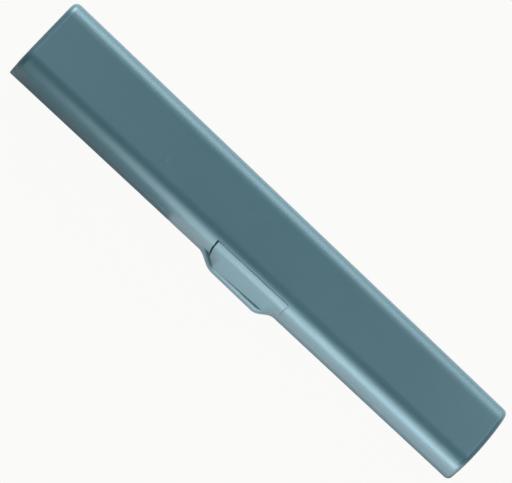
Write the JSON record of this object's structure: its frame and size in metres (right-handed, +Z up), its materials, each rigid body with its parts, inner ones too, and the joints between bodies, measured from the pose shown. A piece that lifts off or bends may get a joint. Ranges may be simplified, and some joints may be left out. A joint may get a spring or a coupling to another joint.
{
  "type": "toothbrush travel case",
  "caption": "Long slim hinged case with rounded edges, a push-button latch at the front and a cradle inside for one powered toothbrush.",
  "frame": {"origin": "middle of the flat underside that the closed case rests on", "axes": "+X along the case from the wide handle end to the narrow brush-head end, -Y towards the latch, +Z up"},
  "size_m": [0.215, 0.0366, 0.0285],
  "materials": {
    "shell": "satin lacquer",
    "insert": "fine moulded grain",
    "steel": "drawn and zinc plated",
    "spring_steel": "rolled strip",
    "pad": "soft matt silicone",
    "clip": "satin"
  },
  "bodies": {
    "base": {"base_shell": "shell", "base_tray": "insert", "hinge_pin_tail": "steel", "hinge_pin_nose": "steel", "handle_pad_tail": "pad", "handle_pad_neck": "pad", "neck_clip": "clip", "tray_screws": "steel"},
    "lid": {"lid_shell": "shell", "lid_liner": "insert", "lid_pad_tail": "pad", "lid_pad_neck": "pad", "liner_screws": "steel", "latch_spring": "spring_steel"},
    "latch": {"latch_button": "shell"}
  },
  "joints": [
    {"name": "lid_hinge", "type": "hinge", "parent": "base", "child": "lid", "pos_m": [0, 0.0155, 0.014], "axis": [-1, 0, 0], "range_deg": [0, 170]},
    {"name": "latch_press", "type": "slide", "parent": "lid", "child": "latch", "axis": [0, 1, 0], "range_m": [0, 0.0012], "stiffness_N_per_m": 2000, "springref_m": -0.0005, "deforming": ["latch_spring"]}
  ]
}
